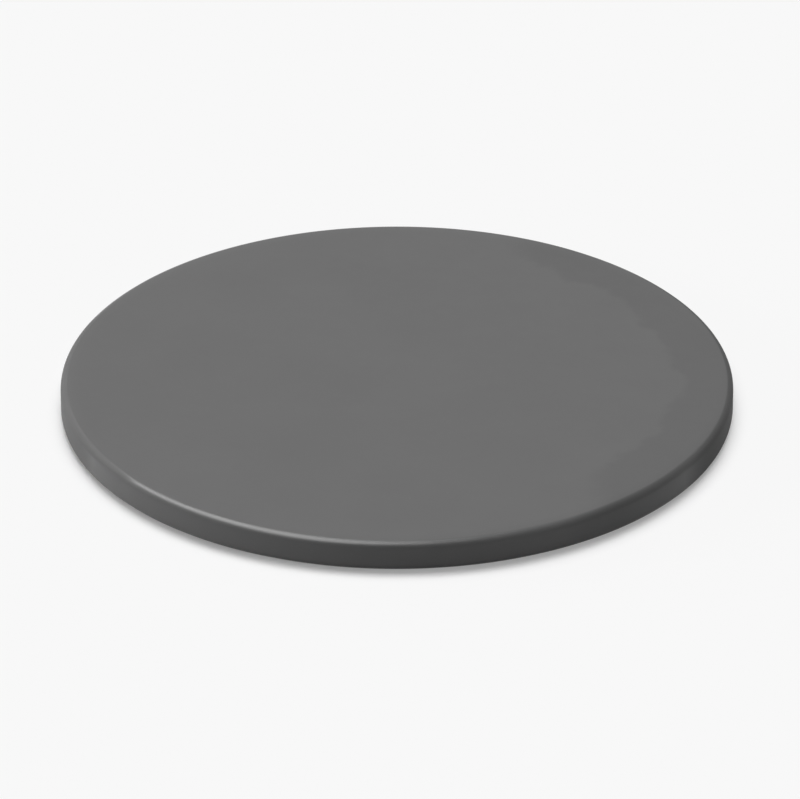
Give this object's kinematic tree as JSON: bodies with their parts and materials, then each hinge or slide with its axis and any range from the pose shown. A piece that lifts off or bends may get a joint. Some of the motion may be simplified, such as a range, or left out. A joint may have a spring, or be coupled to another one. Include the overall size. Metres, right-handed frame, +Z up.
{
  "type": "pizza stone",
  "caption": "Round, flat ceramic baking stone with a rolled edge, dark satin glaze over the top and side, and bare moulded foot rings underneath.",
  "frame": {"origin": "on the axis of the round stone, in the plane that its foot rings stand on", "axes": "+Z up, along the stone's axis and out of the baking face; the stone is the same all round, and -Y is the side that the picture was taken from"},
  "size_m": [0.33, 0.33, 0.016],
  "materials": {
    "bare_stone": "matte",
    "glaze": "satin"
  },
  "bodies": {
    "root": {"stone_body": "bare_stone", "glaze_coat": "glaze"}
  },
  "joints": []
}
